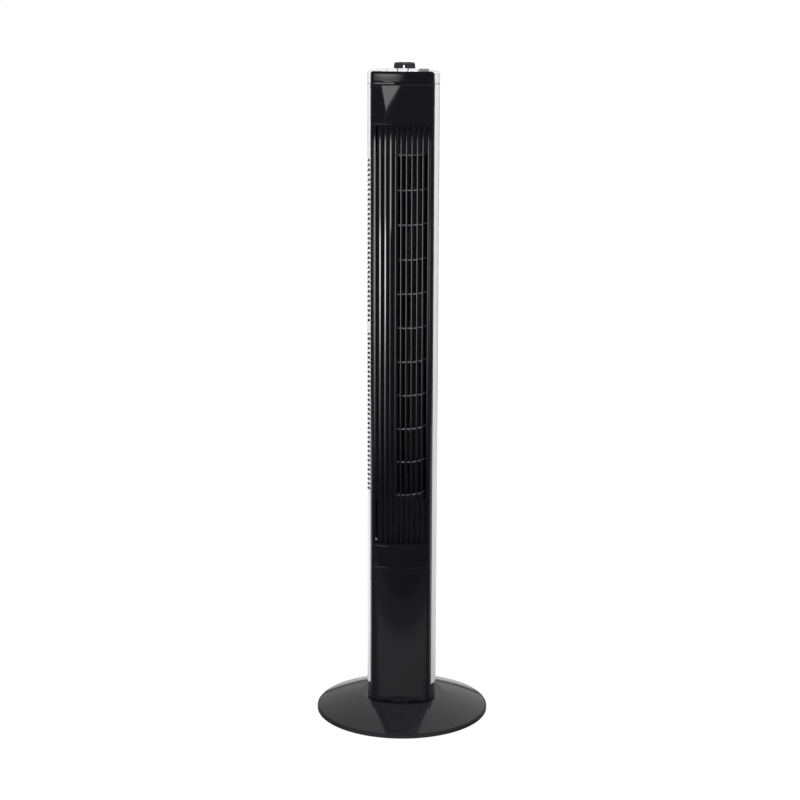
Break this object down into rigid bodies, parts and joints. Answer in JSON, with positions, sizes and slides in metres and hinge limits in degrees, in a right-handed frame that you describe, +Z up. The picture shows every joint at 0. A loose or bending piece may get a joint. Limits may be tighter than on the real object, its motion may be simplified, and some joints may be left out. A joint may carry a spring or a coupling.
{
  "type": "tower fan",
  "caption": "Tall oscillating tower fan: cross-flow impeller behind an upright louvre grille, slotted silver rear housing, top keys and timer knob, round domed base.",
  "frame": {"origin": "centre of the base on the floor", "axes": "+Z up the column, -Y out of the air outlet, +X to the right seen from behind the fan's front"},
  "size_m": [0.31, 0.31, 1.17],
  "materials": {
    "base_gloss": "gloss",
    "front_gloss": "high gloss",
    "panel_satin": "satin",
    "silver_paint": "satin metallic paint",
    "key_dark": "satin",
    "black_plastic": "satin",
    "impeller_plastic": "satin",
    "nylon": "satin",
    "black_acetal": "satin",
    "white_ink": "satin",
    "steel_plain": "plain steel",
    "zinc_sheet": "zinc plated sheet",
    "spring_wire": "drawn wire",
    "bronze": "sintered",
    "windings": "enamelled copper wire",
    "rubber_black": "matte",
    "wire_sleeve": "matte",
    "capacitor_case": "satin"
  },
  "bodies": {
    "base": {"base_front": "base_gloss", "base_rear": "base_gloss", "base_weight": "steel_plain", "base_screws": "steel_plain", "rubber_feet": "rubber_black", "pivot_plate": "black_plastic", "pivot_screws": "steel_plain", "pivot_spindle": "steel_plain", "spindle_washer": "steel_plain", "spindle_nut": "steel_plain", "glide_ring": "black_acetal"},
    "tower": {"body_floor": "black_plastic", "foot_skirt": "black_plastic", "front_frame": "front_gloss", "outlet_grille": "front_gloss", "grille_band": "front_gloss", "lower_panel": "panel_satin", "rear_housing": "silver_paint", "housing_screws": "steel_plain", "top_cap": "silver_paint", "top_trim": "front_gloss", "timer_unit": "black_plastic", "switch_unit": "black_plastic", "control_bracket": "zinc_sheet", "upper_duct_plate": "black_plastic", "lower_duct_plate": "black_plastic", "bearing_mount": "rubber_black", "bearing_bush": "bronze", "scroll_wall": "black_plastic", "vortex_wall": "black_plastic", "motor_stator": "steel_plain", "motor_windings": "windings", "motor_upper_bell": "zinc_sheet", "motor_lower_bell": "zinc_sheet", "motor_bearings": "bronze", "motor_bolts": "steel_plain", "capacitor": "capacitor_case", "terminal_block": "nylon", "sync_motor": "zinc_sheet", "cable_gland": "rubber_black", "wiring": "wire_sleeve", "key_spring_off": "spring_wire", "key_spring_low": "spring_wire", "key_spring_medium": "spring_wire", "key_spring_high": "spring_wire", "key_spring_swing": "spring_wire"},
    "impeller": {"impeller": "impeller_plastic", "impeller_axle": "steel_plain", "impeller_hub": "rubber_black", "motor_rotor": "steel_plain", "motor_shaft": "steel_plain"},
    "timer_knob": {"timer_knob": "black_plastic", "knob_pointer": "white_ink", "timer_shaft": "steel_plain"},
    "key_off": {"key_off": "silver_paint"},
    "key_low": {"key_low": "silver_paint"},
    "key_medium": {"key_medium": "silver_paint"},
    "key_high": {"key_high": "silver_paint"},
    "key_swing": {"key_swing": "key_dark"},
    "crank": {"crank": "nylon"}
  },
  "joints": [
    {"name": "oscillation", "type": "hinge", "parent": "base", "child": "tower", "pos_m": [0, 0, 0], "axis": [0, 0, 1], "range_deg": [-30, 30]},
    {"name": "impeller_spin", "type": "hinge", "parent": "tower", "child": "impeller", "pos_m": [0.002, 0.008, 0.38], "axis": [0, 0, 1], "continuous": true},
    {"name": "timer_turn", "type": "hinge", "parent": "tower", "child": "timer_knob", "pos_m": [0, 0.012, 1.16], "axis": [0, 0, -1], "range_deg": [0, 300]},
    {"name": "crank_turn", "type": "hinge", "parent": "tower", "child": "crank", "pos_m": [0, 0.034, 0.04], "axis": [0, 0, 1], "range_deg": [-98, 98]},
    {"name": "press_off", "type": "slide", "parent": "tower", "child": "key_off", "axis": [0, 0, -1], "range_m": [0, 0.004], "stiffness_N_per_m": 250, "springref_m": -0.002, "deforming": ["key_spring_off"]},
    {"name": "press_low", "type": "slide", "parent": "tower", "child": "key_low", "axis": [0, 0, -1], "range_m": [0, 0.004], "stiffness_N_per_m": 250, "springref_m": -0.002, "deforming": ["key_spring_low"]},
    {"name": "press_medium", "type": "slide", "parent": "tower", "child": "key_medium", "axis": [0, 0, -1], "range_m": [0, 0.004], "stiffness_N_per_m": 250, "springref_m": -0.002, "deforming": ["key_spring_medium"]},
    {"name": "press_high", "type": "slide", "parent": "tower", "child": "key_high", "axis": [0, 0, -1], "range_m": [0, 0.004], "stiffness_N_per_m": 250, "springref_m": -0.002, "deforming": ["key_spring_high"]},
    {"name": "press_swing", "type": "slide", "parent": "tower", "child": "key_swing", "axis": [0, 0, -1], "range_m": [0, 0.004], "stiffness_N_per_m": 250, "springref_m": -0.002, "deforming": ["key_spring_swing"]}
  ],
  "couplings": [
    {"joint": "crank_turn", "follows": "oscillation", "ratio": -3.25}
  ]
}
